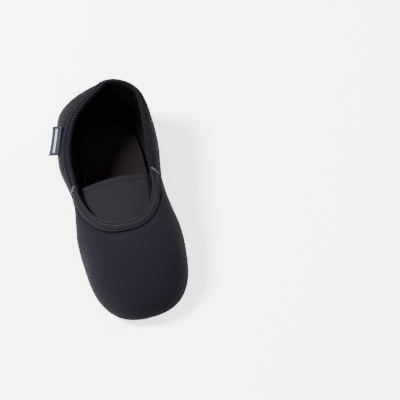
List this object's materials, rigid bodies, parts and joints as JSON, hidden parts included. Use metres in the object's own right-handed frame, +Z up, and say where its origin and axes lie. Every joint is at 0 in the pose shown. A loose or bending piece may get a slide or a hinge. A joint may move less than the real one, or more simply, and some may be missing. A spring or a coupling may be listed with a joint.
{
  "type": "ballet slipper",
  "caption": "Soft split-sole ballet slipper for a right foot, with an elastic throat panel, mesh quarters, bound collar and side label.",
  "frame": {"origin": "centre of the bounding box at the base, on the ground under the slipper", "axes": "+Z up, toe towards -Y, heel towards +Y, medial (big toe) side towards +X"},
  "size_m": [0.0824, 0.1858, 0.0553],
  "materials": {
    "stretch_cloth": "matt fine-ribbed stretch cloth, black with a cool cast",
    "spacer_mesh": "open spacer mesh, black",
    "binding_cloth": "folded jersey tape, dark grey-navy",
    "lining_cloth": "brushed lining, near black",
    "ribbed_elastic": "woven elastic, dark grey",
    "sole_suede": "black split suede, napped",
    "cushion_foam": "grey cellular foam",
    "sewing_thread": "polyester sewing thread",
    "woven_label": "woven ribbon with a plain pale stripe and no lettering"
  },
  "bodies": {
    "forefoot": {"forefoot_outsole": "sole_suede", "forefoot_outsole_thread": "sewing_thread", "forefoot_cushion": "cushion_foam", "vamp_outer": "stretch_cloth", "vamp_lining": "lining_cloth", "vamp_binding": "binding_cloth", "vamp_binding_tape": "ribbed_elastic", "vamp_binding_upper_thread": "sewing_thread", "vamp_binding_lower_thread": "sewing_thread", "throat_elastic": "ribbed_elastic"},
    "heel": {"heel_outsole": "sole_suede", "heel_outsole_thread": "sewing_thread", "heel_cushion": "cushion_foam", "bottom_cloth": "stretch_cloth", "sock_lining": "lining_cloth", "quarter_medial": "spacer_mesh", "quarter_lateral": "spacer_mesh", "side_seam_tape_medial": "lining_cloth", "side_seam_tape_lateral": "lining_cloth", "back_seam_tape": "lining_cloth", "heel_grip": "lining_cloth", "collar_binding": "binding_cloth", "collar_elastic": "ribbed_elastic", "collar_upper_thread": "sewing_thread", "collar_lower_thread": "sewing_thread"},
    "label": {"label_tab": "woven_label"}
  },
  "joints": [
    {"name": "sole_bend", "type": "hinge", "parent": "forefoot", "child": "heel", "pos_m": [0.0021, 0.0121, 0.0022], "axis": [1, 0, 0], "range_deg": [-25, 35], "stiffness_Nm_per_rad": 0.05, "deforming": ["bottom_cloth", "sock_lining", "quarter_medial", "quarter_lateral", "collar_binding", "collar_elastic", "collar_upper_thread", "collar_lower_thread", "side_seam_tape_medial", "side_seam_tape_lateral"]},
    {"name": "label_flap", "type": "hinge", "parent": "heel", "child": "label", "pos_m": [-0.02986, 0.05145, 0.0434], "axis": [0.3453, 0.9165, 0.2019], "range_deg": [-15, 60], "stiffness_Nm_per_rad": 0.0001}
  ]
}
